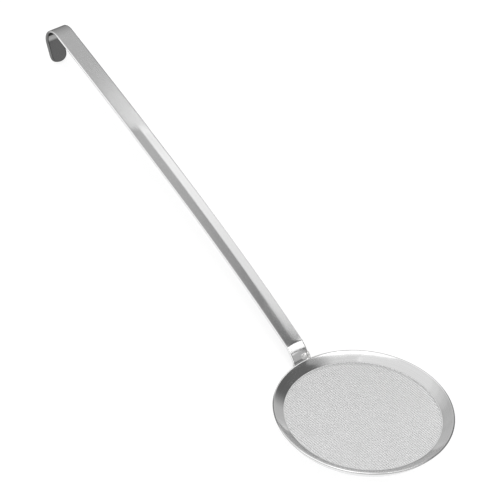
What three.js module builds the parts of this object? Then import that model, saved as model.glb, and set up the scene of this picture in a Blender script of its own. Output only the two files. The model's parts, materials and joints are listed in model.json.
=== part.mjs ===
// Fine-mesh skimmer: a dished rim with woven wire cloth, and a flat-bar handle that ends in a hook.
// Sizes are in millimetres and angles in degrees. While the pieces are made, the bowl is level:
// Z is its axis, z = 0 is the middle of the sheet at the flat seat of the rim, and the handle
// leaves along -X. At the end the skimmer is laid down the way it rests on a table.
import * as THREE from "three";

// Clearance kept between pieces that touch on the real skimmer
const fit = 0.3;

// Rim frame: one ring of sheet with a flat seat, a sloping wall and a rolled lip
const bowlRadius = 80;
const wallSlope = 32.3;
const seatWidth = 1.2;
const seatBendRadius = 2;
const sheet = 1;
const lipRadius = 1;
const lipHeight = 5.3;
const ringSegments = 72;
const seatBendSteps = 3;
const lipSteps = 9;

// Wire cloth: a coarser weave than the real one, with the same pattern; the count is for each way
const wireDiameter = 0.8;
const wireCount = 17;
const wireSides = 6;
const crossingGap = 0.35;

// Clamp ring under the edge of the cloth
const clampSheet = 0.8;

// Handle bar: foot, neck, grip, hook and tail, measured along its upper face
const barWidth = 18;
const barThickness = 3;
const barCorner = 0.5;
const footSlope = 55;
const footBelowLip = 3.5;
const footAboveLip = 6;
const footBendRadius = 19;
const neckSlope = 39;
const neckLength = 6;
const neckBendRadius = 8;
const gripLowSlope = 27.4;
const gripHighSlope = 20;
const gripLength = 368.4;
const hookRadius = 12.5;
const hookTurn = 138.5;
const tailLength = 11.7;

// A low ridge stiffens the grip from the neck on, and fades out before the hook
const ridgeRise = 0.5;
const ridgeLength = 238;
const ridgeFade = 14;

// Facets of the bar
const cornerSteps = 2;
const faceSteps = 4;
const footSteps = 4;
const bendSteps = 4;
const gripSteps = 7;
const hookSteps = 16;
const tipSteps = 7;

// Welds between the foot and the rim
const sideWeldRadius = 0.9;
const sideWeldLength = 5;
const underWeldRadius = 1.2;
const underWeldLength = 13;

const rad = THREE.MathUtils.degToRad;
const skimmer = new THREE.Group();
skimmer.name = "skimmer";

function addPiece(name, geometry, colour, roughness) {
  const material = new THREE.MeshStandardMaterial({ color: colour, roughness, metalness: 1 });
  const mesh = new THREE.Mesh(geometry, material);
  mesh.name = name;
  skimmer.add(mesh);
  return mesh;
}

// A solid through a row of rings. Each ring has the same number of points and runs
// anticlockwise around the direction of travel. Both ends are closed flat.
function loft(rings) {
  const count = rings[0].length;
  const last = (rings.length - 1) * count;
  const faces = [];
  for (let k = 0; k + 1 < rings.length; k++) {
    for (let i = 0; i < count; i++) {
      const a = k * count + i;
      const b = k * count + ((i + 1) % count);
      faces.push(a, b, b + count, a, b + count, a + count);
    }
  }
  for (let i = 1; i + 1 < count; i++) {
    faces.push(0, i + 1, i);
    faces.push(last, last + i, last + i + 1);
  }
  const geometry = new THREE.BufferGeometry();
  geometry.setFromPoints(rings.flat());
  geometry.setIndex(faces);
  geometry.computeVertexNormals();
  return geometry;
}

// A ring turned about Z from a closed outline of [radius, height] points.
// Half a step of turn puts a flat, not a corner, under the handle.
function turned(outline) {
  const closed = [...outline, outline[0]];
  const points = closed.map(([r, z]) => new THREE.Vector2(r, z));
  return new THREE.LatheGeometry(points, ringSegments, Math.PI / ringSegments).rotateX(Math.PI / 2);
}

// Rim frame. The middle of the sheet runs flat from the inner edge, bends up into a straight wall
// and ends at the lip, where the upper face rolls over the top and round to the underside.
const wallSin = Math.sin(rad(wallSlope));
const wallCos = Math.cos(rad(wallSlope));
const lipCentre = { r: bowlRadius - lipRadius, z: lipHeight };
const wallTopEnd = {
  r: lipCentre.r - (lipRadius - sheet / 2) * wallSin,
  z: lipCentre.z + (lipRadius - sheet / 2) * wallCos,
};
const wallFoot = wallTopEnd.r - (wallTopEnd.z * wallCos) / wallSin;
const openingRadius = wallFoot - seatWidth;
const bendCentreR = wallFoot - seatBendRadius * Math.tan(rad(wallSlope / 2));

function bendPoint(part, depth) {
  const reach = seatBendRadius + depth;
  const slope = part * rad(wallSlope);
  return [bendCentreR + reach * Math.sin(slope), seatBendRadius - reach * Math.cos(slope)];
}

// Height of the underside of the wall at a radius
function wallUnderside(r) {
  return ((r - wallFoot) * wallSin - sheet / 2) / wallCos;
}

const rimOutline = [[openingRadius, sheet / 2]];
for (let i = 0; i <= seatBendSteps; i++) {
  rimOutline.push(bendPoint(i / seatBendSteps, -sheet / 2));
}
for (let i = 0; i <= lipSteps; i++) {
  const turn = rad(wallSlope + 90) - (i / lipSteps) * rad(270);
  rimOutline.push([
    lipCentre.r + lipRadius * Math.cos(turn),
    lipCentre.z + lipRadius * Math.sin(turn),
  ]);
}
for (let i = seatBendSteps; i >= 0; i--) {
  rimOutline.push(bendPoint(i / seatBendSteps, sheet / 2));
}
rimOutline.push([openingRadius, -sheet / 2]);
addPiece("rim_frame", turned(rimOutline.reverse()), 0xc4c8ca, 0.22);

// Where the handle meets the bowl. The foot lies against the lip, and its lower end is tucked
// under the rim.
const footAlong = { x: -Math.cos(rad(footSlope)), z: Math.sin(rad(footSlope)) };
const footNormal = { x: Math.sin(rad(footSlope)), z: Math.cos(rad(footSlope)) };
const footTouch = {
  x: -lipCentre.r - (lipRadius + fit) * footNormal.x,
  z: lipCentre.z - (lipRadius + fit) * footNormal.z,
};
const footEnd = {
  x: footTouch.x - footBelowLip * footAlong.x,
  z: footTouch.z - footBelowLip * footAlong.z,
};

// Under weld: a bead across the end of the foot that also lies along the underside of the wall.
// Its centre is one radius past the end of the foot and one radius off the wall.
const past = underWeldRadius + fit;
const pastFoot = {
  r: past * footAlong.x - footEnd.x,
  z: footEnd.z - past * footAlong.z,
};
const underWall = (pastFoot.r - wallFoot) * wallSin - pastFoot.z * wallCos;
const shift = (underWall - sheet / 2 - past) / Math.cos(rad(footSlope - wallSlope));
const underCentre = {
  r: pastFoot.r - shift * footNormal.x,
  z: pastFoot.z + shift * footNormal.z,
};
const underWeld = new THREE.CapsuleGeometry(
  underWeldRadius,
  underWeldLength - 2 * underWeldRadius,
  3,
  10,
);
underWeld.translate(-underCentre.r, 0, underCentre.z);
addPiece("weld_under", underWeld, 0xaeb1b2, 0.4);

// Wire cloth. At each crossing one wire goes over and the other under, and neighbours swap.
const wireRise = (wireDiameter + crossingGap) / 2;
const clothHalf = wireRise + wireDiameter / 2;
const clothZ = -sheet / 2 - fit - clothHalf;
const clampOuter = underCentre.r - past;
const clampInner = clampOuter - clampSheet;
const gripRadius = clampInner - fit;
const wirePitch = (2 * openingRadius) / (wireCount + 0.5);
const lastRow = (wireCount - 1) / 2;

function wireHeight(along, row, side) {
  const step = Math.floor(along / wirePitch);
  const part = along / wirePitch - step;
  const sign = (step + row) % 2 === 0 ? side : -side;
  return clothZ + sign * wireRise * (1 - 2 * part);
}

function wire(row, side, place) {
  const across = row * wirePitch;
  const reach = Math.sqrt(gripRadius ** 2 - (Math.abs(across) + wireDiameter / 2) ** 2);
  const stops = [-reach];
  for (let step = -lastRow; step <= lastRow; step++) {
    if (Math.abs(step * wirePitch) < reach - wireDiameter / 4) stops.push(step * wirePitch);
  }
  stops.push(reach);
  const rings = stops.map((along) => {
    const z = wireHeight(along, row, side);
    const ring = [];
    for (let i = 0; i < wireSides; i++) {
      const turn = (i / wireSides) * 2 * Math.PI;
      const sideways = (wireDiameter / 2) * Math.cos(turn);
      const upwards = (wireDiameter / 2) * Math.sin(turn);
      ring.push(place(along, across, sideways, z + upwards));
    }
    return ring;
  });
  return loft(rings);
}

for (let row = -lastRow; row <= lastRow; row++) {
  const number = String(row + lastRow + 1).padStart(2, "0");
  const warp = wire(row, 1, (s, a, d, z) => new THREE.Vector3(s, a + d, z));
  const weft = wire(row, -1, (s, a, d, z) => new THREE.Vector3(a - d, s, z));
  addPiece("warp_wire_" + number, warp, 0xbfc2c4, 0.35);
  addPiece("weft_wire_" + number, weft, 0xbfc2c4, 0.35);
}

// Clamp ring: a flat band under the cloth with an upright wall that meets the rim.
// It reaches out to the weld under the foot.
const clampTop = clothZ - clothHalf - fit;
const clampBottom = clampTop - clampSheet;
const wallTop = wallUnderside(clampInner) - fit;
addPiece(
  "clamp_ring",
  turned([
    [openingRadius, clampBottom],
    [clampOuter, clampBottom],
    [clampOuter, wallTop],
    [clampInner, wallTop],
    [clampInner, clampTop],
    [openingRadius, clampTop],
  ]),
  0xb9bdc0,
  0.3,
);

// Handle bar. A station is a place on the upper face, the slope there, half the width, how far the
// bar is hollowed to sit against the round lip (1 at the lip, 0 from the bend on), and how far it
// is folded into the ridge (1 on the ridge, 0 where the bar is flat).
const stations = [{ ...footEnd, slope: footSlope, half: barWidth / 2, hollow: 1 }];

// Goes on from the last station by a run of given length while the slope changes.
function run(length, steps, slopeAt, ridgeAt = () => 0, hollowAt = () => 0) {
  for (let i = 1; i <= steps; i++) {
    const from = stations[stations.length - 1];
    const middle = rad(slopeAt((i - 0.5) / steps));
    stations.push({
      x: from.x - (length / steps) * Math.cos(middle),
      z: from.z + (length / steps) * Math.sin(middle),
      slope: slopeAt(i / steps),
      half: barWidth / 2,
      hollow: hollowAt(i / steps),
      ridge: ridgeAt(i / steps),
    });
  }
}

// The stretch of the grip between two distances from its low end. Its slope eases towards the hook.
function grip(from, to, steps, ridgeAt) {
  const slopeAt = (t) => {
    const left = 1 - THREE.MathUtils.lerp(from, to, t) / gripLength;
    return THREE.MathUtils.lerp(gripHighSlope, gripLowSlope, left ** 2);
  };
  run(to - from, steps, slopeAt, ridgeAt);
}

const tailSlope = gripHighSlope - hookTurn;
const ridgeEnd = ridgeLength + ridgeFade;
run(footBelowLip, 1, () => footSlope, () => 0, () => 1);
run(footAboveLip, footSteps, () => footSlope, () => 0, (t) => 1 - THREE.MathUtils.smoothstep(t, 0, 1));
run(footBendRadius * rad(footSlope - neckSlope), bendSteps, (t) =>
  THREE.MathUtils.lerp(footSlope, neckSlope, t),
);
run(neckLength, 1, () => neckSlope);
run(
  neckBendRadius * rad(neckSlope - gripLowSlope),
  bendSteps,
  (t) => THREE.MathUtils.lerp(neckSlope, gripLowSlope, t),
  (t) => t,
);
grip(0, ridgeLength, gripSteps, () => 1);
grip(ridgeLength, ridgeEnd, 1, (t) => 1 - t);
grip(ridgeEnd, gripLength, gripSteps);
run(hookRadius * rad(hookTurn), hookSteps, (t) =>
  THREE.MathUtils.lerp(gripHighSlope, tailSlope, t),
);
run(tailLength, 1, () => tailSlope);

// The half-round end of the tail: the width narrows along a circle.
const tailEnd = stations[stations.length - 1];
for (let i = 1; i <= tipSteps; i++) {
  const turn = rad(85) * (i / tipSteps);
  const onward = (barWidth / 2) * Math.sin(turn);
  stations.push({
    x: tailEnd.x - onward * Math.cos(rad(tailSlope)),
    z: tailEnd.z + onward * Math.sin(rad(tailSlope)),
    slope: tailSlope,
    half: (barWidth / 2) * Math.cos(turn),
  });
}

// The section of the bar, as [sideways, depth below the upper face] points: four rounded corners,
// with the two wide faces between them in a few steps so that they can be hollowed.
function barOutline(h) {
  const c = Math.min(barCorner, h / 2);
  const outline = [];
  for (let quarter = 0; quarter < 4; quarter++) {
    const y = quarter === 0 || quarter === 3 ? c - h : h - c;
    const depth = quarter < 2 ? c : barThickness - c;
    for (let i = 0; i <= cornerSteps; i++) {
      const turn = (quarter + i / cornerSteps) * (Math.PI / 2);
      outline.push([y - c * Math.cos(turn), depth - c * Math.sin(turn)]);
    }
    if (quarter % 2 === 1) continue;
    for (let i = 1; i < faceSteps; i++) {
      outline.push([y * (1 - (2 * i) / faceSteps), quarter === 0 ? 0 : barThickness]);
    }
  }
  return outline;
}

function barRing({ x, z, slope, half, hollow = 0, ridge = 0 }) {
  return barOutline(half).map(([y, depth]) => {
    const lipBack = lipCentre.r - Math.sqrt(lipCentre.r ** 2 - y ** 2);
    const fold = (ridgeRise * Math.abs(y)) / (barWidth / 2);
    const d = depth + ridge * fold - hollow * lipBack * footNormal.x;
    return new THREE.Vector3(x - d * Math.sin(rad(slope)), y, z - d * Math.cos(rad(slope)));
  });
}

const bar = addPiece("handle_bar", loft(stations.map(barRing)), 0xc8cbcd, 0.28);

// Side welds: a bead in each corner between the edge of the foot and the lip.
const weldY = barWidth / 2 + fit + sideWeldRadius;
const weldOut = lipRadius + fit + sideWeldRadius;
for (const [name, side] of [["weld_right", -1], ["weld_left", 1]]) {
  const bead = new THREE.SphereGeometry(sideWeldRadius, 12, 8);
  bead.scale(sideWeldLength / (2 * sideWeldRadius), 1, 1);
  bead.rotateY(rad(footSlope));
  bead.translate(
    -Math.sqrt(lipCentre.r ** 2 - weldY ** 2) - weldOut * footNormal.x,
    side * weldY,
    lipCentre.z - weldOut * footNormal.z,
  );
  addPiece(name, bead, 0xaeb1b2, 0.4);
}

// Laid on a table, the skimmer tips about the edge of the clamp ring until the hook comes down.
const tipX = -clampOuter * Math.cos(Math.PI / ringSegments);
let restTilt = Math.PI / 2;
const corner = new THREE.Vector3();
const barPoints = bar.geometry.getAttribute("position");
for (let i = 0; i < barPoints.count; i++) {
  corner.fromBufferAttribute(barPoints, i);
  if (corner.x < -2 * bowlRadius) {
    restTilt = Math.min(restTilt, Math.atan2(corner.z - clampBottom, tipX - corner.x));
  }
}
skimmer.rotation.y = -restTilt;

// The origin is the middle of the bottom of the box around the lying skimmer.
const lying = new THREE.Group();
lying.name = "lying_skimmer";
lying.add(skimmer);
lying.updateMatrixWorld(true);
const box = new THREE.Box3().setFromObject(skimmer, true);
skimmer.position.set(-(box.min.x + box.max.x) / 2, -(box.min.y + box.max.y) / 2, -box.min.z);
lying.updateMatrixWorld(true);

export default lying;
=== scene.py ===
# %% [markdown]
# # A fine-mesh skimmer
# A kitchen skimmer has a shallow ring of pressed sheet with woven wire cloth stretched across it,
# and a long flat bar, bent to a hook at the end, welded to the ring. The solid model of it comes
# in first and fixes every size. The pieces below follow its shapes with finer detail: rounded
# edges, a real weave, weld beads and steel with a grain.

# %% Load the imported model
import json

import bpy
import numpy as np
from mathutils import Matrix, Vector


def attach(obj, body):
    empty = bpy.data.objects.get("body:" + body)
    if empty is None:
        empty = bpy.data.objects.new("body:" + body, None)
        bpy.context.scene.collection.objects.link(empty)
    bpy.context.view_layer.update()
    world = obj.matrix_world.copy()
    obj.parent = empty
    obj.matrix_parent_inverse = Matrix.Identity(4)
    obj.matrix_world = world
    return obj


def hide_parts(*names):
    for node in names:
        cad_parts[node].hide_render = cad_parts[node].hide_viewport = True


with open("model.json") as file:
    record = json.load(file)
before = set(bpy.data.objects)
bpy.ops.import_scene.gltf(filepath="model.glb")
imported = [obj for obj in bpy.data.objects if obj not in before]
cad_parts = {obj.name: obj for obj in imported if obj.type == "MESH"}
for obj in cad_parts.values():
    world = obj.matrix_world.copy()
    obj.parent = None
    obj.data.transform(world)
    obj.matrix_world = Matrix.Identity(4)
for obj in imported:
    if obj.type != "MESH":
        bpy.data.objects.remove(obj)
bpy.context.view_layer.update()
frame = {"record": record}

# %% [markdown]
# ## The bowl's own frame
# The skimmer lies on a table with its bowl tipped up, which is an awkward frame to draw a round
# bowl in. So every piece is drawn in millimetres with the bowl level, its axis on Z and the
# handle along -X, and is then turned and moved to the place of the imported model. The record's
# mount on the flat underside of the bowl says how far the bowl is tipped and where it is.

# %% Bowl frame to row frame
CLAMP_UNDERSIDE = -3.85
BASE_RADIUS = 71.3

base = next(m for m in frame["record"]["mounts"] if m["name"] == "bowl_base")
tip_sin, tip_cos = base["axis"][0], -base["axis"][2]
turn = np.array([[tip_cos, 0, -tip_sin], [0, 1, 0], [tip_sin, 0, tip_cos]])
bowl_middle = np.array(base["pos_m"]) * 1000 - turn @ [0, BASE_RADIUS, CLAMP_UNDERSIDE]


def to_row(points):
    """Bowl millimetres to row metres: turn about Y by the tip of the bowl, then shift."""
    return (points @ turn.T + bowl_middle) / 1000


print("bowl tipped by", round(float(np.degrees(np.arcsin(tip_sin))), 2), "degrees")

# %% [markdown]
# ## Camera
# The photograph looks down on the bowl from the side, from far away through a long lens, and is
# tilted a little, so the handle rises to the upper left. The view was fitted to the ring of the
# bowl, the two edges of the bar and the hook, and it is given here about the level bowl.

# %% Camera
IMAGE_PIXELS = 500
SENSOR = 36.0
FOCAL_PIXELS = 2579.139
VIEW_DISTANCE = 2249.308
VIEW_SLIDE = (98.692, -144.005)
FAR_CLIP = 20.0
azimuth, elevation, roll = np.radians([45.192, 38.44, 6.045])

back = np.array([
    np.sin(azimuth) * np.cos(elevation), -np.cos(azimuth) * np.cos(elevation), np.sin(elevation),
])
level = np.array([np.cos(azimuth), np.sin(azimuth), 0.0])
upright = np.cross(back, level)
right = level * np.cos(roll) + upright * np.sin(roll)
up = upright * np.cos(roll) - level * np.sin(roll)
eye = VIEW_DISTANCE * back - VIEW_SLIDE[0] * right - VIEW_SLIDE[1] * up

camera_data = bpy.data.cameras.new("camera")
camera_data.sensor_width = SENSOR
camera_data.lens = FOCAL_PIXELS / IMAGE_PIXELS * SENSOR
camera_data.clip_end = FAR_CLIP
camera = bpy.data.objects.new("camera", camera_data)
pose = np.eye(4)
pose[:3, :3] = turn @ np.stack([right, up, back], 1)
pose[:3, 3] = to_row(eye)
camera.matrix_world = Matrix(pose)
bpy.context.scene.collection.objects.link(camera)
bpy.context.scene.camera = camera
print("camera at", np.round(pose[:3, 3], 3).tolist(), "with a lens of", round(camera_data.lens, 1), "mm")

# %% [markdown]
# ## From a grid of points to a mesh
# Every piece here is a tube of some kind: a section carried round a circle, along a bent path or along a
# wire. Each one is a grid of points with rows along the piece and columns round its section. One helper
# joins neighbours with quads, closes the seams, and closes open ends with a flat face. It also writes a UV
# map of lengths in metres, so that a grain can follow the metal. It writes a number too, which scales the
# grey of the metal and lowers its roughness: 1 for a plain face, less where it is dull or painted darker
# and more where it is painted lighter. Most of these numbers paint light and shade into the grey: painted
# highlights, painted reflections and painted shade.

# %% Mesh helper
SHARP_EDGE = np.radians(38)


def face_corners(grid, ring):
    """Row and column of the four corners of each cell: (i, j), (i+1, j), (i+1, j+1), (i, j+1)."""
    cells = grid.shape[0] if ring else grid.shape[0] - 1
    i, j = np.meshgrid(np.arange(cells), np.arange(grid.shape[1]), indexing="ij")
    rows = np.stack([i, i + 1, i + 1, i], -1).reshape(-1, 4)
    columns = np.stack([j, j, j + 1, j + 1], -1).reshape(-1, 4)
    return rows, columns


def lengths(grid, axis):
    """Distance along one axis of the grid in metres, from 0 to its full loop, measured on the line
    that is a quarter of the way over the other axis."""
    line = np.take(grid, grid.shape[1 - axis] // 4, 1 - axis)
    steps = np.linalg.norm(np.roll(line, -1, 0) - line, axis=1)
    return np.concatenate([[0.0], np.cumsum(steps)]) / 1000


def skin(name, grids, nodes, ring=False, polish_and_painted_light=1.0):
    """One mesh from (rows, columns, 3) grids of bowl millimetres. Columns wrap round; rows wrap too when
    ring is true, and otherwise the first and last row are closed by a face each. The sum of a . (b x c)
    over the faces, six times the volume, tells whether the faces point outwards. The last argument scales
    the grey and lowers the roughness, and mostly carries painted light and shade; it is one number for the
    piece, one for each column or one for each point of the grid."""
    points, faces, uv, polish_and_light_values = [], [], [], []
    start = 0
    for grid in grids:
        flat = grid.reshape(-1, 3)
        rows, columns = face_corners(grid, ring)
        count = grid.shape[1]
        quads = rows % grid.shape[0] * count + columns % count
        a, b, c, d = np.moveaxis((flat - flat.mean(0))[quads], 1, 0)
        volume = np.sum(a * (np.cross(b, c) + np.cross(c, d)))
        corner_uv = np.stack([lengths(grid, 0)[rows], lengths(grid, 1)[columns]], -1)
        ends = [] if ring else [np.arange(count), np.arange(len(flat) - 1, len(flat) - count - 1, -1)]
        step = -1 if volume < 0 else 1
        faces += (quads[:, ::step] + start).tolist() + [(end[::step] + start).tolist() for end in ends]
        uv += [corner_uv[:, ::step].ravel()] + [np.zeros(2 * count) for end in ends]
        points.append(to_row(flat))
        polish_and_light_values.append(np.broadcast_to(polish_and_painted_light, grid.shape[:2]).ravel())
        start += len(flat)
    mesh = bpy.data.meshes.new(name)
    mesh.from_pydata(np.concatenate(points).tolist(), [], faces)
    mesh.uv_layers.new(name="lengths").data.foreach_set("uv", np.concatenate(uv))
    mesh.attributes.new("polish_and_painted_light", "FLOAT", "POINT").data.foreach_set("value", np.concatenate(polish_and_light_values))
    mesh.shade_smooth()
    mesh.set_sharp_from_angle(angle=SHARP_EDGE)
    piece = bpy.data.objects.new(name, mesh)
    bpy.context.scene.collection.objects.link(piece)
    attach(piece, "root")
    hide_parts(*nodes)
    print(name, "has", sum(len(face) - 2 for face in faces), "triangles")
    return piece


# %% [markdown]
# ## Grain and smudges
# Steel looks like steel because of small unevenness. Rolled, spun and drawn metal has fine lines
# along the way it was worked, and hands leave soft cloudy patches that are a little duller. Both
# are used by several finishes, so each is a node group: a grain that is noise stretched along one
# direction of the UV map, and smudges that are soft noise in object space.

# %% Node groups
SMUDGE_FROM, SMUDGE_FULL = 0.42, 0.68


def new_group(name, vector, floats, output):
    """An empty shader node group with one vector input, some float inputs and one float output."""
    group = bpy.data.node_groups.new(name, "ShaderNodeTree")
    group.interface.new_socket(vector, in_out="INPUT", socket_type="NodeSocketVector")
    for socket in floats:
        group.interface.new_socket(socket, in_out="INPUT", socket_type="NodeSocketFloat")
    group.interface.new_socket(output, in_out="OUTPUT", socket_type="NodeSocketFloat")
    return group, group.nodes.new("NodeGroupInput"), group.nodes.new("NodeGroupOutput")


def smooth_step(nodes, low, high, at_low=0.0, at_high=1.0):
    """A node that goes from one value to another while its input goes from low to high, by the
    smooth curve t^2 (3 - 2 t)."""
    step = nodes.new("ShaderNodeMapRange")
    step.interpolation_type = "SMOOTHSTEP"
    for socket, value in {"From Min": low, "From Max": high, "To Min": at_low, "To Max": at_high}.items():
        step.inputs[socket].default_value = value
    return step


def build_grain_group():
    """Noise of (u / line length, v / line width): long thin streaks along u, from 0 to 1."""
    group, inputs, outputs = new_group(
        "worked_grain", "Lengths", ["Per metre along", "Per metre across"], "Grain",
    )
    nodes, links = group.nodes, group.links
    stretch = nodes.new("ShaderNodeCombineXYZ")
    scaled = nodes.new("ShaderNodeVectorMath")
    scaled.operation = "MULTIPLY"
    noise = nodes.new("ShaderNodeTexNoise")
    noise.noise_dimensions = "2D"
    noise.inputs["Scale"].default_value = 1.0
    noise.inputs["Detail"].default_value = 3.0
    links.new(inputs.outputs["Per metre along"], stretch.inputs["X"])
    links.new(inputs.outputs["Per metre across"], stretch.inputs["Y"])
    links.new(inputs.outputs["Lengths"], scaled.inputs[0])
    links.new(stretch.outputs["Vector"], scaled.inputs[1])
    links.new(scaled.outputs["Vector"], noise.inputs["Vector"])
    links.new(noise.outputs["Fac"], outputs.inputs["Grain"])
    return group


def build_smudge_group():
    """Soft noise in object space, sharpened so that smudges are patches with clean metal between."""
    group, inputs, outputs = new_group("hand_smudges", "Position", ["Per metre"], "Smudge")
    nodes, links = group.nodes, group.links
    noise = nodes.new("ShaderNodeTexNoise")
    noise.inputs["Detail"].default_value = 4.0
    noise.inputs["Roughness"].default_value = 0.6
    patch = smooth_step(nodes, SMUDGE_FROM, SMUDGE_FULL)
    links.new(inputs.outputs["Position"], noise.inputs["Vector"])
    links.new(inputs.outputs["Per metre"], noise.inputs["Scale"])
    links.new(noise.outputs["Fac"], patch.inputs["Value"])
    links.new(patch.outputs["Result"], outputs.inputs["Smudge"])
    return group


grain_group = build_grain_group()
smudge_group = build_smudge_group()
print("node groups:", grain_group.name, "and", smudge_group.name)

# %% [markdown]
# ## One recipe for steel
# All pieces are stainless steel, and differ in how they were worked: the length and width of the grain, how
# rough the surface is, and how deep the lines are. So one function builds the material from those values.
# The grain feeds the roughness, the grey and a very small bump, and smudges make the metal a little duller.
# Where the number that a piece carries for its polish is low, its metal is darker and rougher. That number
# also paints light and shade into the grey: painted highlights, painted reflections and painted shade.

# %% Steel finishes
POLISH_GAIN = 0.05
GRAIN_LOW, GRAIN_HIGH = 0.3, 0.7


def steel(name, grey, roughness, grain, depth, smudges, grazing=1.0):
    """Metal whose roughness runs between two values with the grain, plus a third one where smudged, and
    less by a little times the polish number. Its grey runs between two values with the grain, times that
    number, which carries the painted light and shade of the piece. The grain is also a bump of given depth.
    Grain and smudges are counts per metre, and grazing is the tint of the metal seen edge-on."""
    material = bpy.data.materials.new(name)
    material.use_nodes = True
    nodes, links = material.node_tree.nodes, material.node_tree.links
    shader = nodes["Principled BSDF"]
    shader.inputs["Metallic"].default_value = 1.0
    shader.inputs["Specular Tint"].default_value = (grazing, grazing, grazing, 1)
    place = nodes.new("ShaderNodeTexCoord")
    lines = nodes.new("ShaderNodeGroup")
    lines.node_tree = grain_group
    lines.inputs["Per metre along"].default_value = grain[0]
    lines.inputs["Per metre across"].default_value = grain[1]
    hands = nodes.new("ShaderNodeGroup")
    hands.node_tree = smudge_group
    hands.inputs["Per metre"].default_value = smudges
    links.new(place.outputs["UV"], lines.inputs["Lengths"])
    links.new(place.outputs["Object"], hands.inputs["Position"])

    rough = nodes.new("ShaderNodeMapRange")
    rough.inputs["From Min"].default_value = GRAIN_LOW
    rough.inputs["From Max"].default_value = GRAIN_HIGH
    rough.inputs["To Min"].default_value = roughness[0] + POLISH_GAIN
    rough.inputs["To Max"].default_value = roughness[1] + POLISH_GAIN
    duller = nodes.new("ShaderNodeMath")
    duller.operation = "MULTIPLY_ADD"
    duller.inputs[1].default_value = roughness[2]
    polish_and_painted_light = nodes.new("ShaderNodeAttribute")
    polish_and_painted_light.attribute_name = "polish_and_painted_light"
    shinier = nodes.new("ShaderNodeMath")
    shinier.operation = "MULTIPLY_ADD"
    shinier.inputs[1].default_value = -POLISH_GAIN
    links.new(lines.outputs["Grain"], rough.inputs["Value"])
    links.new(hands.outputs["Smudge"], duller.inputs[0])
    links.new(rough.outputs["Result"], duller.inputs[2])
    links.new(polish_and_painted_light.outputs["Fac"], shinier.inputs[0])
    links.new(duller.outputs["Value"], shinier.inputs[2])
    links.new(shinier.outputs["Value"], shader.inputs["Roughness"])

    # The grey times the polish number: this is where the painted light and shade of each piece enter its
    # base colour.
    tone = nodes.new("ShaderNodeMix")
    tone.data_type = "RGBA"
    tone.inputs["A"].default_value = (*grey[0], 1)
    tone.inputs["B"].default_value = (*grey[1], 1)
    tone_with_painted_light = nodes.new("ShaderNodeVectorMath")
    tone_with_painted_light.operation = "SCALE"
    links.new(lines.outputs["Grain"], tone.inputs["Factor"])
    links.new(tone.outputs["Result"], tone_with_painted_light.inputs["Vector"])
    links.new(polish_and_painted_light.outputs["Fac"], tone_with_painted_light.inputs["Scale"])
    links.new(tone_with_painted_light.outputs["Vector"], shader.inputs["Base Color"])

    bump = nodes.new("ShaderNodeBump")
    bump.inputs["Distance"].default_value = depth
    links.new(lines.outputs["Grain"], bump.inputs["Height"])
    links.new(bump.outputs["Normal"], shader.inputs["Normal"])
    print("finish", name, "roughness", roughness[:2])
    return material


# %% [markdown]
# ## Rim frame
# The ring is one pressed sheet: a narrow flat seat that holds the cloth and thins to a fine edge,
# a sloping wall, and a lip rolled into a bead so that the edge isn't sharp. It could be a bevelled
# curve, but the slope of the wall is what makes its reflections, so the section is drawn from its
# slope: the slope is added up along the sheet to give the middle line, the two faces lie half a
# sheet either side, and the lip is three quarters of a circle. The section is then carried round
# the bowl's axis.
#
# The number for the polish paints light and shade into the ring. The underside is dull, and the outside of
# the lip is painted darker as a painted dark outline. A painted shade lies in the crease above the seat,
# and the seat and its fine edge carry a painted highlight. The front half of the wall is painted lighter as
# a painted reflection. The top of the lip and the lip by the foot carry painted highlights. On the left and
# right a painted dark line runs on top of the lip.

# %% Rim section
SHEET = 1.0
BOWL_RADIUS = 80.0
LIP_RADIUS = 1.0
LIP_HEIGHT = 5.3
SEAT_WIDTH = 0.6
SEAT_EDGE = 0.2
SEAT_BEND_RADIUS = 0.6
WALL_LENGTH = 10.2
THINNED_WALL = 1.0
WALL_LOW, WALL_HIGH = np.radians([31.265, 36.0])
LIP_CENTRE = np.array([BOWL_RADIUS - LIP_RADIUS, LIP_HEIGHT])
SEAT_POINTS, BEND_POINTS, WALL_POINTS, LIP_POINTS, EDGE_POINTS = 3, 9, 33, 30, 9
# The last points of the under face, which would lie inside the lip.
INSIDE_LIP = 4


def add_up(slope, along):
    """Middle line of a sheet: the sums of cos(slope) and sin(slope) over the steps along it."""
    middle = (slope[1:] + slope[:-1]) / 2
    steps = np.stack([np.cos(middle), np.sin(middle)], 1) * np.diff(along)[:, None]
    return np.concatenate([np.zeros((1, 2)), np.cumsum(steps, 0)])


def offset(line, slope, distance):
    """Points at a distance from a line, towards its left-hand side: (-sin, cos) of the slope."""
    return line + np.reshape(distance, (-1, 1)) * np.stack([-np.sin(slope), np.cos(slope)], 1)


def arc(centre, radius, start, end, count):
    """Points on a circle from one angle to another."""
    angle = np.linspace(start, end, count)
    return centre + radius * np.stack([np.cos(angle), np.sin(angle)], 1)


bend_length = SEAT_BEND_RADIUS * WALL_LOW
seat_end, wall_start = SEAT_WIDTH, SEAT_WIDTH + bend_length
rim_along = np.concatenate([
    np.linspace(0, seat_end, SEAT_POINTS)[:-1],
    np.linspace(seat_end, wall_start, BEND_POINTS)[:-1],
    wall_start + np.linspace(0, WALL_LENGTH, WALL_POINTS),
])
up_wall = np.clip((rim_along - wall_start) / WALL_LENGTH, 0, 1)
rim_slope = np.where(
    rim_along < wall_start,
    np.clip((rim_along - seat_end) / SEAT_BEND_RADIUS, 0, None),
    WALL_LOW + (WALL_HIGH - WALL_LOW) * up_wall**2,
)
rim_line = add_up(rim_slope, rim_along)
rim_line += LIP_CENTRE - offset(rim_line, rim_slope, SHEET / 2 - LIP_RADIUS)[-1]
opening_radius = float(rim_line[0, 0])
below = np.interp(rim_along, [0, wall_start + THINNED_WALL], [SHEET / 2 - SEAT_EDGE, -SHEET / 2])
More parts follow.
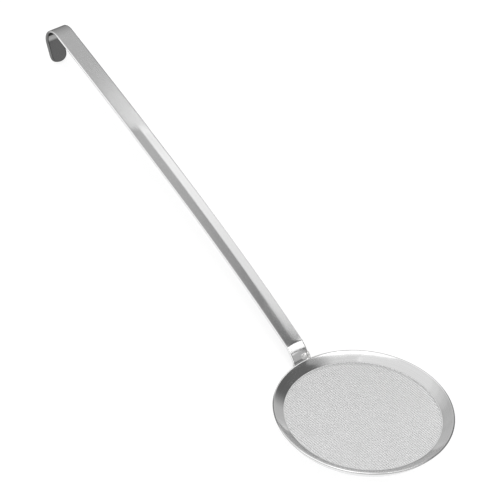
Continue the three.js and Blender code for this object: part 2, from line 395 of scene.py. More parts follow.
upper = offset(rim_line, rim_slope, SHEET / 2)[:-1]
under = offset(rim_line, rim_slope, below)[:-INSIDE_LIP]
lip_start, lip_end = WALL_HIGH + np.pi / 2, WALL_HIGH - np.pi
lip = arc(LIP_CENTRE, LIP_RADIUS, lip_start, lip_end, LIP_POINTS)
edge = arc((upper[0] + under[0]) / 2, SEAT_EDGE / 2, -np.pi / 2, -3 * np.pi / 2, EDGE_POINTS)[1:-1]
rim_section = np.concatenate([upper, lip, under[::-1], edge])
print("opening radius", round(opening_radius, 2), "mm, section of", len(rim_section), "points")

# %% Rim painted light and shade
RING_STEPS = 288
# The underside is dull and darker, and the same value paints a dark outline on the outside of the lip. A
# painted shade lies in the crease above the seat. The seat, its fine edge and the top of the lip carry
# painted highlights.
DULL_AND_PAINTED_SHADE, CREASE_PAINTED_SHADE, LIP_TOP_HIGHLIGHT, SEAT_HIGHLIGHT = 0.42, 0.85, 1.2, 1.55
CREASE_SHADE_ENDS = 0.5
# The front half of the wall is painted lighter, more so towards its top: a painted reflection.
WALL_PAINTED_REFLECTION, WALL_TOP_PAINTED_REFLECTION, WALL_REFLECTION_RISE = 1.3, 1.45, 0.3
# Round the lip: below the first angle a painted dark outline, above the second a painted highlight. At the
# front the dark outline reaches less far up.
LIP_SHADE_ANGLE, LIP_HIGHLIGHT_ANGLE = np.radians([10, 50])
LESS_SHADED_SIDE, SHADE_SHIFT = np.radians([285, 25])
# On the left and right a painted dark line runs on top of the lip, with a painted highlight outside it. The
# lip by the foot carries that painted highlight too.
LIP_LINE_ANGLES, LIP_OUTER_HIGHLIGHT = np.radians([15, 40, 85, 115]), 1.45
# Parts of the ring, in degrees: the middle, how far it is full on each side, and where it ends.
FRONT_PART, RIGHT_PART, LEFT_PART, FOOT_PART = (312, 58, 72), (36, 32, 44), (236, 10, 20), (198, 14, 24)
around_ring = np.linspace(0, 2 * np.pi, RING_STEPS, endpoint=False)[:, None]


def share_of(part):
    """1 within some degrees of a place on the ring, falling to 0 at some more degrees from it."""
    middle, reach, end = np.radians(part)
    away = np.abs((around_ring - middle + np.pi) % (2 * np.pi) - np.pi)
    return np.interp(away, [reach, end], [1, 0])


crease = (seat_end + wall_start) / 2
face_painted_light = np.interp(
    rim_along[:-1], [seat_end, crease, wall_start + CREASE_SHADE_ENDS], [SEAT_HIGHLIGHT, CREASE_PAINTED_SHADE, 1],
)
wall_reflection_gain = np.interp(up_wall[:-1], [0, WALL_REFLECTION_RISE, 1], [1, WALL_PAINTED_REFLECTION, WALL_TOP_PAINTED_REFLECTION])
lip_angle = np.linspace(lip_start, lip_end, LIP_POINTS)
less_shaded_share = np.clip(0.5 + np.cos(around_ring - LESS_SHADED_SIDE), 0, 1)
lip_light_and_shade = np.interp(lip_angle + SHADE_SHIFT * less_shaded_share, [LIP_SHADE_ANGLE, LIP_HIGHLIGHT_ANGLE], [DULL_AND_PAINTED_SHADE, LIP_TOP_HIGHLIGHT])
lip_with_dark_line = np.interp(lip_angle, LIP_LINE_ANGLES, [LIP_OUTER_HIGHLIGHT, DULL_AND_PAINTED_SHADE, DULL_AND_PAINTED_SHADE, LIP_TOP_HIGHLIGHT])
dark_line_share = share_of(RIGHT_PART) + share_of(LEFT_PART)
rim_polish_and_painted_light = np.concatenate([
    face_painted_light * (1 + share_of(FRONT_PART) * (wall_reflection_gain - 1)),
    lip_light_and_shade + dark_line_share * (lip_with_dark_line - lip_light_and_shade) + share_of(FOOT_PART) * (LIP_OUTER_HIGHLIGHT - lip_light_and_shade),
    np.full((RING_STEPS, len(under)), DULL_AND_PAINTED_SHADE),
    np.full((RING_STEPS, len(edge)), SEAT_HIGHLIGHT),
], 1)
print("polish of the rim from", np.round(rim_polish_and_painted_light.min(), 2), "to", np.round(rim_polish_and_painted_light.max(), 2))


# %% Rim piece
def turned(section):
    """A section of (radius, height) points carried round Z: (r cos t, r sin t, h)."""
    r, h = section[None, :, 0], section[None, :, 1]
    return np.stack(np.broadcast_arrays(r * np.cos(around_ring), r * np.sin(around_ring), h), -1)


rim = skin("rim_frame_spun", [turned(rim_section)], ["rim_frame"], True, rim_polish_and_painted_light)
rim_finish = steel(
    "spun_rim_steel", grey=((0.60, 0.60, 0.60), (0.68, 0.68, 0.68)), roughness=(0.08, 0.13, 0.03),
    grain=(12, 1500), depth=0.000002, smudges=25,
)
rim.data.materials.append(rim_finish)

# %% [markdown]
# ## Clamp ring
# Under the seat a second ring holds the edge of the cloth. It can't be seen from above. Such rings
# are a channel of thin sheet: an inner edge that presses the cloth up, a flat band to stand on,
# and an outer wall that reaches up to the rim. It is drawn from its slope like the rim, and set a
# little further back than the seat, so that only the seat's fine edge shows from above.

# %% Clamp ring
# The clamp ring is painted lighter, so that where it shows through the cloth it looks less dark: painted
# light.
CLAMP_PAINTED_LIGHT = 1.4
CLAMP_POINTS, CLAMP_EDGE_POINTS = 9, 7
CLAMP_SHEET = 0.8
CLAMP_OUTER = 74.25
CLAMP_BEND = 0.9
CLAMP_INSET = 0.8
CLAMP_INNER_RISE = 2.07
CLAMP_OUTER_RISE = 2.55
clamp_inner = opening_radius + CLAMP_INSET
band = CLAMP_OUTER - clamp_inner - CLAMP_SHEET - 2 * CLAMP_BEND
quarter = CLAMP_BEND * np.pi / 2
corners = np.cumsum([0, CLAMP_INNER_RISE, quarter, band, quarter, CLAMP_OUTER_RISE])
clamp_along = np.concatenate([
    *(np.linspace(a, b, CLAMP_POINTS)[:-1] for a, b in zip(corners[:-1], corners[1:])), corners[-1:],
])
clamp_slope = np.interp(clamp_along, corners[1:-1], np.array([-1, 0, 0, 1]) * np.pi / 2)
clamp_line = add_up(clamp_slope, clamp_along)
clamp_line += [clamp_inner + CLAMP_SHEET / 2, CLAMP_UNDERSIDE + CLAMP_SHEET / 2 - clamp_line[:, 1].min()]
clamp_section = np.concatenate([
    offset(clamp_line, clamp_slope, CLAMP_SHEET / 2),
    arc(clamp_line[-1], CLAMP_SHEET / 2, np.pi, 0, CLAMP_EDGE_POINTS)[1:-1],
    offset(clamp_line, clamp_slope, -CLAMP_SHEET / 2)[::-1],
    arc(clamp_line[0], CLAMP_SHEET / 2, np.pi, 0, CLAMP_EDGE_POINTS)[1:-1],
])
clamp = skin(
    "clamp_ring_channel", [turned(clamp_section)], ["clamp_ring"], True, CLAMP_PAINTED_LIGHT,
)
clamp_finish = steel(
    "satin_clamp_steel", grey=((0.54, 0.54, 0.54), (0.62, 0.62, 0.62)), roughness=(0.24, 0.34, 0.05),
    grain=(20, 2000), depth=0.00002, smudges=25,
)
clamp.data.materials.append(clamp_finish)

# %% [markdown]
# ## Wire cloth
# The cloth is woven like any plain cloth: at each crossing one wire goes over and the other
# under, and its neighbours do the opposite. An alpha texture would be lighter, but it has no
# thickness at the edge and no shadow from near by, so every wire is a tube round a wave. The
# thicker wires run along the handle and stay straight. The thinner ones cross them at a quarter of
# the spacing and do the waving, which is why the lines along the handle are the ones seen. The
# wires end under the seat, just short of the clamp ring.

# %% Woven wires
LONG_PITCH, LONG_WIRE, LONG_SIDES = 2.2, 0.65, 8
CROSS_PITCH, CROSS_WIRE, CROSS_SIDES = LONG_PITCH / 4, 0.3, 3
WEAVE_SLACK = 1.15
CROSS_WAVE = WEAVE_SLACK * (LONG_WIRE + CROSS_WIRE) / 2
CLAMP_GAP, SEAT_GAP = 0.2, 0.05
CLOTH_RADIUS = clamp_inner - CLAMP_GAP
CLOTH_HEIGHT = SHEET / 2 - SEAT_EDGE - SEAT_GAP - CROSS_WAVE - CROSS_WIRE / 2
# The least room at the end of a wire, in steps, and beside the outermost wire, in pitches.
END_ROOM, SIDE_ROOM = 0.2, 0.6
CAD_WIRES = 17


def woven_wire(across, wire, wave, phase, sides, step):
    """A tube round the wave  z = wave * cos(pi * (s / pitch + phase)), cut off by the circle of the
    clamp. The rings of the tube lean with the wave, so that its thickness stays the same. Gives
    the places along the wire, across it and upwards."""
    reach = np.sqrt(CLOTH_RADIUS**2 - across**2)
    count = int(reach / step + (0.5 - END_ROOM))
    s = np.concatenate([[-reach], (np.arange(-count, count) + 0.5) * step, [reach]])[:, None]
    angle = np.pi * (s / LONG_PITCH + phase)
    lean = np.arctan(-wave * np.pi / LONG_PITCH * np.sin(angle))
    around = np.linspace(0, 2 * np.pi, sides, endpoint=False)[None, :]
    outwards = wire / 2 * np.sin(around)
    along = s - outwards * np.sin(lean)
    upwards = CLOTH_HEIGHT + wave * np.cos(angle) + outwards * np.cos(lean)
    sideways = across + wire / 2 * np.cos(around) + 0 * s
    return along, sideways, upwards


def wire_rows(pitch):
    """Whole numbers of the wires that fit in the clamp, from one side to the other."""
    last = int(CLOTH_RADIUS / pitch - SIDE_ROOM)
    return np.arange(-last, last + 1)


long_grids, cross_grids = [], []
for row in wire_rows(LONG_PITCH):
    along, sideways, upwards = woven_wire(row * LONG_PITCH, LONG_WIRE, 0, 0, LONG_SIDES, 2 * LONG_PITCH)
    long_grids.append(np.stack([along, sideways, upwards], -1))
for row in wire_rows(CROSS_PITCH):
    along, sideways, upwards = woven_wire(
        row * CROSS_PITCH, CROSS_WIRE, CROSS_WAVE, row, CROSS_SIDES, LONG_PITCH / 2,
    )
    cross_grids.append(np.stack([sideways, along, upwards], -1))

numbers = ["%02d" % n for n in range(1, CAD_WIRES + 1)]
long_wires = skin("cloth_wires_along", long_grids, ["warp_wire_" + n for n in numbers])
cross_wires = skin("cloth_wires_across", cross_grids, ["weft_wire_" + n for n in numbers])
wire_finish = steel(
    "drawn_wire_steel", grey=((0.52, 0.52, 0.52), (0.64, 0.64, 0.64)), roughness=(0.25, 0.35, 0.05),
    grain=(60, 9000), depth=0.000005, smudges=60,
)
long_wires.data.materials.append(wire_finish)
cross_wires.data.materials.append(wire_finish)
print("wires:", len(long_grids), "along the handle and", len(cross_grids), "across it")

# %% [markdown]
# ## Handle bar
# The handle is one flat bar. Its foot is hollowed to lie against the round lip, then it bends
# twice, over a short neck, to the long grip, which is curved very slightly and ends in a hook with
# a half-round tip. A curve with a bevel profile could do it, but here the width changes at the tip
# and the face changes from hollow to ridged, so the section is carried along the path station by
# station. The ridge is a slight roof shape that stiffens the lower two thirds of the grip. It
# splits the face into a dark and a light half, and stops short of the hook, where the bar is flat.
#
# The bar was sheared from a strip, and the edges below are rounder. Its sides carry a painted highlight
# that makes them brighter than its face. Its underside is dull and painted darker, a painted shade, and a
# painted dark line runs along its rounded upper edges. A painted shade lies across the base of the foot,
# above the lip, and a painted highlight on the bend above it. Further up the grip the painted dark line
# leaves the left edge and darkens the right one. The sides and the crest of the hook carry painted shade.
# Its inside is painted less dark than the rest of the underside, and its back carries a painted highlight.
# This steel also darkens where it is seen edge-on.

# %% Bar path
BAR_HALF, BAR_THICKNESS, BAR_CORNER, UNDER_CORNER = 9.0, 3.0, 0.55, 1.4
RIDGE_LENGTH, RIDGE_FADE = 238.0, 14.0
FOOT_SLOPE, NECK_SLOPE, GRIP_LOW, GRIP_HIGH, HOOK_TURN = np.radians([53, 40, 27.4, 19.85, 138.5])
FOOT_BELOW, FOOT_ABOVE, NECK_LENGTH = 3.5, 8.3, 5.4
FOOT_BEND_RADIUS, NECK_BEND_RADIUS, HOOK_RADIUS = 19.0, 8.0, 12.5
GRIP_LENGTH, TAIL_LENGTH = 368.1, 11.4
TIP_FULLNESS = 0.8
LIP_GAP = 0.3
BEND_STEPS, TIP_STEPS = (6, 10, 12, 10, 6, 150, 64, 8), 20

bends = np.cumsum([
    0, FOOT_BELOW, FOOT_ABOVE, FOOT_BEND_RADIUS * (FOOT_SLOPE - NECK_SLOPE), NECK_LENGTH,
    NECK_BEND_RADIUS * (NECK_SLOPE - GRIP_LOW), GRIP_LENGTH, HOOK_RADIUS * HOOK_TURN, TAIL_LENGTH,
])
neck_end, grip_start, grip_end, hook_end, tail_end = bends[4:]
ridge_end = grip_start + RIDGE_LENGTH
tip_turn = np.linspace(0, np.pi / 2, TIP_STEPS + 1)[1:-1]
stations = np.concatenate([
    *(np.linspace(a, b, n, endpoint=False) for a, b, n in zip(bends[:-1], bends[1:], BEND_STEPS)),
    [tail_end],
    tail_end + BAR_HALF * np.sin(tip_turn) ** TIP_FULLNESS,
])
grip_part = np.clip((stations - grip_start) / GRIP_LENGTH, 0, 1)
bar_slope = np.interp(stations, bends[2:6], [FOOT_SLOPE, NECK_SLOPE, NECK_SLOPE, GRIP_LOW])
bar_slope += (GRIP_HIGH - GRIP_LOW) * (1 - (1 - grip_part) ** 2)
bar_slope -= np.interp(stations, [grip_end, hook_end], [0, HOOK_TURN])
foot_normal = np.array([np.sin(FOOT_SLOPE), np.cos(FOOT_SLOPE)])
foot_along = np.array([-np.cos(FOOT_SLOPE), np.sin(FOOT_SLOPE)])
foot_end = np.array([-1, 1]) * LIP_CENTRE - (LIP_RADIUS + LIP_GAP) * foot_normal - FOOT_BELOW * foot_along
bar_line = foot_end + add_up(bar_slope, stations) * [-1, 1]
bar_half = BAR_HALF * np.append(np.ones(len(stations) - len(tip_turn)), np.cos(tip_turn) ** TIP_FULLNESS)
print("bar of", round(float(tail_end + BAR_HALF), 1), "mm along its face,", len(stations), "stations")


# %% Bar section
# Painted light on the section: a painted highlight on the sheared sides, a painted dark line on the rounded
# upper edges, and a dull underside painted darker, a painted shade.
SIDE_HIGHLIGHT, EDGE_PAINTED_SHADE, UNDERSIDE_DULL_AND_SHADE = 1.5, 0.5, 0.26
CORNER_POINTS, FACE_POINTS = 7, 25
EDGE_ANGLES = (0, 15, 50, 75)
RIDGE_RISE, RIDGE_TOP_LOW, RIDGE_TOP_HIGH, RIDGE_SHARP_AT = 0.5, 4.0, 1.0, 120.0


def bar_section():
    """Round the section once. Each point is (share of the flat half-width, share of the corner sideways, 0
    on the upper or 1 on the under side, share of the corner in depth, polish number with its painted light
    and shade)."""
    t = np.linspace(0, np.pi / 2, CORNER_POINTS)
    face = np.linspace(-1, 1, FACE_POINTS)[1:-1]
    one, zero = np.ones_like(t), np.zeros_like(t)
    to_side_highlight = np.interp(np.degrees(t), EDGE_ANGLES, [1, EDGE_PAINTED_SHADE, EDGE_PAINTED_SHADE, SIDE_HIGHLIGHT])
    to_underside = np.interp(np.degrees(t), EDGE_ANGLES[:2], [SIDE_HIGHLIGHT, UNDERSIDE_DULL_AND_SHADE])
    upper_right = np.stack([one, np.sin(t), zero, 1 - np.cos(t), to_side_highlight], 1)
    under_right = np.stack([one, np.cos(t), one, 1 - np.sin(t), to_underside], 1)
    flat = np.stack([face, 0 * face, 0 * face, 0 * face, 1 + 0 * face], 1)
    mirror = np.array([-1, -1, 1, 1, 1])
    return np.concatenate([
        flat, upper_right, under_right, flat[::-1] + [0, 0, 1, 0, UNDERSIDE_DULL_AND_SHADE - 1],
        under_right[::-1] * mirror, upper_right[::-1] * mirror,
    ])


def eased(t):
    """The smooth curve t^2 (3 - 2 t), from 0 to 1."""
    return t**2 * (3 - 2 * t)


def foot_rise(y):
    """How far the hollowed foot rises beside its middle: the lip's own curve R - sqrt(R^2 - y^2), as
    measured along the normal of the foot."""
    return (LIP_CENTRE[0] - np.sqrt(LIP_CENTRE[0] ** 2 - y**2)) * foot_normal[0]


def bar_grid(section):
    """Sideways y = a (half - c) + b c and depth from the section, a ridge that lowers the face by
    sqrt(y^2 + w^2) - w, a roof with a rounded top of width w, and the rise of the hollowed foot."""
    flat_share, corner_share, under_side, corner_depth = section.T[:4, None, :]
    corner = np.minimum(np.where(under_side > 0, UNDER_CORNER, BAR_CORNER), bar_half[:, None] / 2)
    y = flat_share * (bar_half[:, None] - corner) + corner_share * corner
    depth = np.where(under_side > 0, BAR_THICKNESS - corner_depth * corner, corner_depth * corner)
    lift = np.clip((stations - FOOT_BELOW) / (neck_end - FOOT_BELOW), 0, 1)
    hollow = (1 - eased(lift))[:, None]
    roof = np.interp(stations, [neck_end, grip_start, ridge_end, ridge_end + RIDGE_FADE], [0, 1, 1, 0])
    roof = eased(roof)[:, None]
    top_width = np.interp(stations, [grip_start, RIDGE_SHARP_AT], [RIDGE_TOP_LOW, RIDGE_TOP_HIGH])[:, None]
    depth = depth + roof * RIDGE_RISE / BAR_HALF * (np.sqrt(y**2 + top_width**2) - top_width)
    depth = depth - hollow * foot_rise(y)
    x = bar_line[:, :1] - depth * np.sin(bar_slope)[:, None]
    z = bar_line[:, 1:] - depth * np.cos(bar_slope)[:, None]
    return np.stack([x, y, z], -1)


bar_outline = bar_section()
bar_surface = bar_grid(bar_outline)
print("bar section of", len(bar_outline), "points, surface of", bar_surface.shape[:2], "points")

# %% Bar painted light and shade
# Painted shade on the sides and crest of the hook, a less dark inside and a painted highlight on its back.
HOOK_SIDE_SHADE, HOOK_INSIDE_START, HOOK_INSIDE_LIGHTER, HOOK_BACK_HIGHLIGHT, CREST_SHADE = 0.45, 0.732, 0.85, 1.44, 0.78
# A painted shade across the base of the foot, above the lip, and a painted highlight on the bend above it.
FOOT_GAP_SHADE, GAP_SHADE_WIDTH, NECK_HIGHLIGHT = 0.45, 0.6, 1.2
# Where each painted mark begins, is full and ends, in millimetres along the bar.
GAP_SHADE_PART, NECK_PART = (4.0, 4.8, 6.0, 7.0), (15.5, 17.0, 21.0, 22.5)
# Further up the grip the painted dark edge line darkens the right edge and leaves the left one.
RIGHT_EDGE_SHADE_PART, LEFT_EDGE_UNSHADED_PART = (150.0, 230.0), (220.0, 300.0)
hook_top = (grip_end + hook_end) / 2
hook_sides_part = (grip_end - 5, hook_top)
hook_inside_part = (hook_top - 60, hook_top - 40, hook_top - 1, hook_end - 3.5, hook_end - 0.5)
crest_part = (grip_end - 3, grip_end + 4, hook_top - 5, hook_top - 2)


def factors_along_bar(columns, part, factors):
    """Factors on the polish number and its painted light and shade: straight lines between the stations of
    a part of the bar for some columns of its section, and 1 for the others."""
    return np.where(columns, np.interp(stations, part, factors)[:, None], 1)


flat_share, corner_share, under_side, _, polish_and_painted_light = bar_outline.T
upper_face = under_side == 0
under_face = (under_side == 1) & (corner_share == 0)
left_edge = upper_face & (corner_share < 0) & (polish_and_painted_light == EDGE_PAINTED_SHADE)
right_edge = upper_face & (flat_share == 1) & (corner_share == 0)
hook_inside_light = np.array([UNDERSIDE_DULL_AND_SHADE, HOOK_INSIDE_START, HOOK_INSIDE_LIGHTER, HOOK_INSIDE_LIGHTER, UNDERSIDE_DULL_AND_SHADE])
gap_shade = factors_along_bar(upper_face, GAP_SHADE_PART, [1, FOOT_GAP_SHADE, FOOT_GAP_SHADE, 1])
bar_polish_and_painted_light = polish_and_painted_light * (1 - (1 - gap_shade) * np.interp(flat_share, [0, GAP_SHADE_WIDTH], [1, 0]))
bar_polish_and_painted_light *= factors_along_bar(upper_face, NECK_PART, [1, NECK_HIGHLIGHT, NECK_HIGHLIGHT, 1])
bar_polish_and_painted_light *= factors_along_bar(right_edge, RIGHT_EDGE_SHADE_PART, [1, EDGE_PAINTED_SHADE])
bar_polish_and_painted_light *= factors_along_bar(left_edge, LEFT_EDGE_UNSHADED_PART, [1, 1 / EDGE_PAINTED_SHADE])
bar_polish_and_painted_light *= factors_along_bar(upper_face & (polish_and_painted_light <= 1), crest_part, [1, CREST_SHADE, CREST_SHADE, HOOK_BACK_HIGHLIGHT])
bar_polish_and_painted_light *= factors_along_bar(polish_and_painted_light > 1, hook_sides_part, [1, HOOK_SIDE_SHADE / SIDE_HIGHLIGHT])
bar_polish_and_painted_light *= factors_along_bar(under_face, hook_inside_part, hook_inside_light / UNDERSIDE_DULL_AND_SHADE)
print("polish of the bar from", np.round(bar_polish_and_painted_light.min(), 2), "to", np.round(bar_polish_and_painted_light.max(), 2))

# %% Bar piece
bar = skin("handle_bar_bent", [bar_surface], ["handle_bar"], False, bar_polish_and_painted_light)
bar_finish = steel(
    "satin_bar_steel", grey=((0.60, 0.60, 0.60), (0.66, 0.66, 0.66)), roughness=(0.11, 0.16, 0.03),
    grain=(25, 3000), depth=0.00001, smudges=22, grazing=0.3,
)
bar.data.materials.append(bar_finish)

# %% [markdown]
# ## Welds
# The foot is joined to the ring by a bead in each corner beside it and by one across its end,
# under the rim. A weld freezes in small overlapping waves, so each bead is a rounded bar whose
# radius ripples along its length. On the left the melt also ran over the edge of the bar, and left
# a flat, shiny, uneven patch and two drops on the face of the foot: the same shape, squeezed to a
# part of its height.

# %% Weld beads
BEAD_RINGS, BEAD_SIDES, RIPPLE = 41, 20, 0.08
END_TURN = 0.495 * np.pi
BEAD_FULLNESS, MELT_FULLNESS = 4, 2
# The left weld and its melt are painted lighter than the other welds: a painted highlight.
WELD_HIGHLIGHT = 1.45
LEFT_WELD_UP, LEFT_WELD_ACROSS, LEFT_WELD_SUNK = 6.8, 8.9, 1.3
LEFT_WELD_LENGTH, LEFT_WELD_RADIUS, LEFT_WELD_RIPPLES = 7.0, 1.7, 7
RIGHT_WELD_LENGTH, RIGHT_WELD_RADIUS, RIGHT_WELD_RIPPLES, RIGHT_WELD_ASIDE = 4.4, 0.8, 7, 1.2
UNDER_WELD_LENGTH, UNDER_WELD_RADIUS, UNDER_WELD_RIPPLES = 13.4, 1.3, 17
UNDER_WELD_PLACE = (-75.75, 0, 1.47)
# Melt on the foot: how far up and across, its length, its radius, its ripples, the share of height.
PATCH, DROP, TOE = (7.6, 4.6, 9.0, 2.6, 4, 0.06), (7.5, 6.6, 4.8, 2.2, 2, 0.3), (4.0, 7.0, 4.0, 1.0, 2, 0.5)
along_foot = np.array([foot_along[0], 0, foot_along[1]])
off_foot = np.array([foot_normal[0], 0, foot_normal[1]])
across_bar = np.array([0.0, 1.0, 0.0])


def bead(centre, direction, side, length, radius, ripples, fullness=BEAD_FULLNESS, height=1.0):
    """Rings along t from nearly -1 to nearly 1 with the radius  r sqrt(1 - t^n) (1 + a cos(pi k t)),
    where n is how full the ends are and k counts the ripples, squeezed to a share of it in height.
    The ripples lean by the sine of the angle round the bead."""
    t = np.sin(np.linspace(-1, 1, BEAD_RINGS) * END_TURN)[:, None, None]
    angle = np.linspace(0, 2 * np.pi, BEAD_SIDES, endpoint=False)[None, :, None]
    waves = 1 + RIPPLE * np.cos(np.pi * ripples * t + np.sin(angle))
    swell = radius * np.sqrt(1 - t**fullness) * waves
    other = height * np.cross(direction, side)
    return centre + length / 2 * t * direction + swell * (np.cos(angle) * side + np.sin(angle) * other)


def foot_spot(up, across):
    """A point on the hollowed face of the foot: so far up the bar from its end and so far across."""
    spot = foot_end + up * foot_along + foot_rise(across) * foot_normal
    return np.array([spot[0], across, spot[1]])


def melt(up, across, length, radius, ripples, height):
    """A low bead that lies across the face of the foot, with pointed ends."""
    spot = foot_spot(up, across)
    return bead(spot, across_bar, along_foot, length, radius, ripples, MELT_FULLNESS, height)


left_spot = foot_spot(LEFT_WELD_UP, LEFT_WELD_ACROSS) - LEFT_WELD_SUNK * off_foot
left_bead = bead(left_spot, along_foot, across_bar, LEFT_WELD_LENGTH, LEFT_WELD_RADIUS, LEFT_WELD_RIPPLES)
right_y = BAR_HALF + RIGHT_WELD_ASIDE
on_lip = np.array([-np.sqrt(LIP_CENTRE[0] ** 2 - right_y**2), -right_y, LIP_HEIGHT])
right_spot = on_lip - (LIP_RADIUS + RIGHT_WELD_ASIDE) * off_foot
right_bead = bead(
    right_spot, along_foot, across_bar, RIGHT_WELD_LENGTH, RIGHT_WELD_RADIUS, RIGHT_WELD_RIPPLES,
)
under_spot = np.array(UNDER_WELD_PLACE)
under_bead = bead(
    under_spot, across_bar, along_foot, UNDER_WELD_LENGTH, UNDER_WELD_RADIUS, UNDER_WELD_RIPPLES,
)
left_grids = [left_bead, melt(*PATCH), melt(*DROP), melt(*TOE)]
welds = [
    skin("weld_bead_left", left_grids, ["weld_left"], polish_and_painted_light=WELD_HIGHLIGHT),
    skin("weld_bead_right", [right_bead], ["weld_right"]),
    skin("weld_bead_under", [under_bead], ["weld_under"]),
]
weld_finish = steel(
    "weld_bead_steel", grey=((0.56, 0.56, 0.56), (0.68, 0.67, 0.66)), roughness=(0.14, 0.26, 0.05),
    grain=(400, 1500), depth=0.00002, smudges=200,
)
for weld in welds:
    weld.data.materials.append(weld_finish)

# %% [markdown]
# ## Floor, backdrop and light
# The photograph is a studio picture on white paper. The floor is grey to the light that falls on
# it, so that it keeps a shadow, and it glows. The camera sees that glow as white. Steel and other
# mirrors see a glow that is brighter in front than behind. The camera sees a white backdrop too, and
# the steel sees one that is pale at the horizon and grey above, with one dark corner.
#
# Steel shows what is round it, so the soft boxes are placed where the metal looks. The large key
# light is made of four overlapping steps, so that its low edge fades. Lamps that overlap in exactly
# one plane don't add up, so they hang at slightly different heights.

# %% Floor
FLOOR_HALF, PAPER_GREY, PAPER_ROUGHNESS = 6, 0.3, 0.9
SEEN_GLOW, FRONT_GLOW, BACK_GLOW = 0.8, 0.8, 0.42
AWAY_FROM_FRONT, FRONT_ENDS, BACK_STARTS = (-0.2, 1.0, 0.0), 0.014, 0.054
floor_corners = [(x * FLOOR_HALF, y * FLOOR_HALF, 0) for x, y in [(-1, -1), (1, -1), (1, 1), (-1, 1)]]
floor_mesh = bpy.data.meshes.new("floor")
floor_mesh.from_pydata(floor_corners, [], [(0, 1, 2, 3)])
floor = bpy.data.objects.new("floor", floor_mesh)
bpy.context.scene.collection.objects.link(floor)
paper = bpy.data.materials.new("white_paper")
paper.use_nodes = True
nodes, links = paper.node_tree.nodes, paper.node_tree.links
shader = nodes["Principled BSDF"]
shader.inputs["Base Color"].default_value = (PAPER_GREY, PAPER_GREY, PAPER_GREY, 1)
shader.inputs["Roughness"].default_value = PAPER_ROUGHNESS
shader.inputs["Specular IOR Level"].default_value = 0.0
shader.inputs["Emission Color"].default_value = (1, 1, 1, 1)
path = nodes.new("ShaderNodeLightPath")
mirrored = nodes.new("ShaderNodeMath")
mirrored.operation = "MAXIMUM"
seen = nodes.new("ShaderNodeMath")
seen.operation = "MULTIPLY"
seen.inputs[1].default_value = SEEN_GLOW
place = nodes.new("ShaderNodeTexCoord")
depth = nodes.new("ShaderNodeVectorMath")
depth.operation = "DOT_PRODUCT"
depth.inputs[1].default_value = AWAY_FROM_FRONT
falling = smooth_step(nodes, FRONT_ENDS, BACK_STARTS, FRONT_GLOW, BACK_GLOW)
glow = nodes.new("ShaderNodeMath")
glow.operation = "MULTIPLY_ADD"
links.new(path.outputs["Is Glossy Ray"], mirrored.inputs[0])
links.new(path.outputs["Is Transmission Ray"], mirrored.inputs[1])
links.new(path.outputs["Is Camera Ray"], seen.inputs[0])
links.new(place.outputs["Object"], depth.inputs[0])
links.new(depth.outputs["Value"], falling.inputs["Value"])
links.new(mirrored.outputs["Value"], glow.inputs[0])
links.new(falling.outputs["Result"], glow.inputs[1])
links.new(seen.outputs["Value"], glow.inputs[2])
links.new(glow.outputs["Value"], shader.inputs["Emission Strength"])
floor.data.materials.append(paper)
print("floor glow", SEEN_GLOW, "seen,", FRONT_GLOW, "to", BACK_GLOW, "mirrored")

# %% Backdrop
DARK_CORNER = Vector((0.231, 0.708, 0.58)).normalized()
CORNER_EDGE, CORNER_CORE = 0.756, 0.921
UPPER_GREY, CORNER_GREY, HORIZON_GREY, HORIZON_TOP = 0.656, 0.17, 0.7, 0.12
world = bpy.data.worlds.new("studio")
world.use_nodes = True
bpy.context.scene.world = world
nodes, links = world.node_tree.nodes, world.node_tree.links
backdrop = nodes["Background"]
direction = nodes.new("ShaderNodeTexCoord")
nearness = nodes.new("ShaderNodeVectorMath")
nearness.operation = "DOT_PRODUCT"
nearness.inputs[1].default_value = DARK_CORNER
corner_shade = smooth_step(nodes, CORNER_EDGE, CORNER_CORE, UPPER_GREY, CORNER_GREY)
height = nodes.new("ShaderNodeSeparateXYZ")
sweep = smooth_step(nodes, 0.0, HORIZON_TOP)
blend = nodes.new("ShaderNodeMix")
blend.inputs["A"].default_value = HORIZON_GREY
path = nodes.new("ShaderNodeLightPath")
seen = nodes.new("ShaderNodeMath")
seen.operation = "MAXIMUM"
links.new(direction.outputs["Generated"], nearness.inputs[0])
links.new(nearness.outputs["Value"], corner_shade.inputs["Value"])
links.new(direction.outputs["Generated"], height.inputs["Vector"])
links.new(height.outputs["Z"], sweep.inputs["Value"])
links.new(sweep.outputs["Result"], blend.inputs["Factor"])
links.new(corner_shade.outputs["Result"], blend.inputs["B"])
links.new(blend.outputs["Result"], seen.inputs[0])
links.new(path.outputs["Is Camera Ray"], seen.inputs[1])
links.new(seen.outputs["Value"], backdrop.inputs["Strength"])
backdrop.inputs["Color"].default_value = (1, 1, 1, 1)
print("backdrop", HORIZON_GREY, "at the horizon,", UPPER_GREY, "above and", CORNER_GREY, "in the corner")

# %% Soft boxes
CEILING, LAMP_GAP = 1.2, 0.005
BOWL_SPOT, KEY_WAY = Vector((0.2, 0, 0.03)), Vector((-0.6, -0.24, 0.76))
KEY_DISTANCE, KEY_WIDTH, KEY_TOP, KEY_RADIANCE = 1.6, 1.5, 1.1, 0.433
KEY_LOW_EDGES = (-1.15, -0.95, -0.75, -0.55)
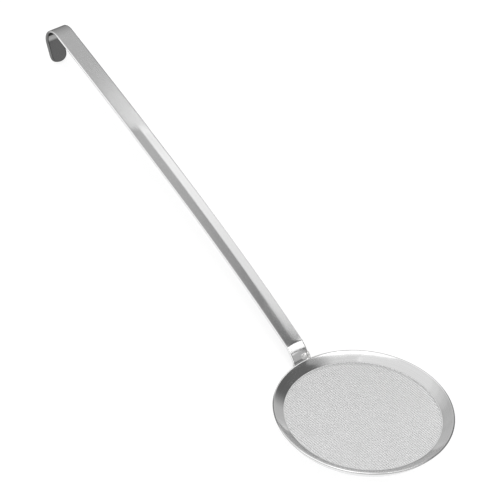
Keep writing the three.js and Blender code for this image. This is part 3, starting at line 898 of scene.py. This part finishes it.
# Name, place, gaps above the ceiling's height, width, length, turn in degrees, radiance.
CEILING_BOXES = [
    ("overhead_strip", (0.515, 0.473), 0, 0.25, 0.923, -17.9, 1.5),
    ("strip_fill", (0.319, 0.31), 1, 0.314, 0.875, -19, 0.31),
    ("neck_box", (0.772, 1.208), 1, 0.617, 0.324, 1.2, 1.3),
    ("wall_box", (0.295, -0.06), 2, 0.3, 0.5, -29, 0.6),
    ("front_box", (0.328, -0.673), 3, 1.07, 0.826, -44.6, 0.84),
    ("back_box", (-0.363, 1.185), 0, 0.772, 0.80, -3.5, 1.0),
    ("foot_box", (1.305, 1.455), 0, 0.88, 1.10, 0, 0.466),
]


def soft_box(name, place, width, length, radiance, turned_by=0.0, aim=None):
    """A rectangular area lamp. It faces down, turned about Z, or faces the point it is aimed at. Its
    power is the wanted radiance times its area times pi."""
    lamp = bpy.data.lights.new(name, "AREA")
    lamp.shape = "RECTANGLE"
    lamp.size, lamp.size_y = width, length
    lamp.energy = radiance * width * length * np.pi
    box = bpy.data.objects.new(name, lamp)
    box.location = place
    box.rotation_euler = (0, 0, np.radians(turned_by))
    if aim is not None:
        box.rotation_euler = (Vector(place) - Vector(aim)).to_track_quat("Z", "Y").to_euler()
    bpy.context.scene.collection.objects.link(box)
    print(name, "shines", round(lamp.energy, 1), "W")


key_up = KEY_WAY.to_track_quat("Z", "Y") @ Vector((0, 1, 0))
for number, low in enumerate(KEY_LOW_EDGES, 1):
    aim = BOWL_SPOT + (KEY_TOP + low) / 2 * key_up
    place = aim + (KEY_DISTANCE + LAMP_GAP * number) * KEY_WAY
    radiance = KEY_RADIANCE / len(KEY_LOW_EDGES)
    soft_box("key_box_%d" % number, place, KEY_WIDTH, KEY_TOP - low, radiance, aim=aim)
for name, (x, y), gaps, width, length, turned_by, radiance in CEILING_BOXES:
    soft_box(name, (x, y, CEILING + gaps * LAMP_GAP), width, length, radiance, turned_by)
soft_box("low_front_box", (0.3, -2.2, 0.9), width=3.5, length=1.4, radiance=1.0, aim=BOWL_SPOT)

# %% [markdown]
# ## View transform
# The colours are shown through the standard view transform.

# %% Finish
scene = bpy.context.scene
scene.view_settings.view_transform = "Standard"
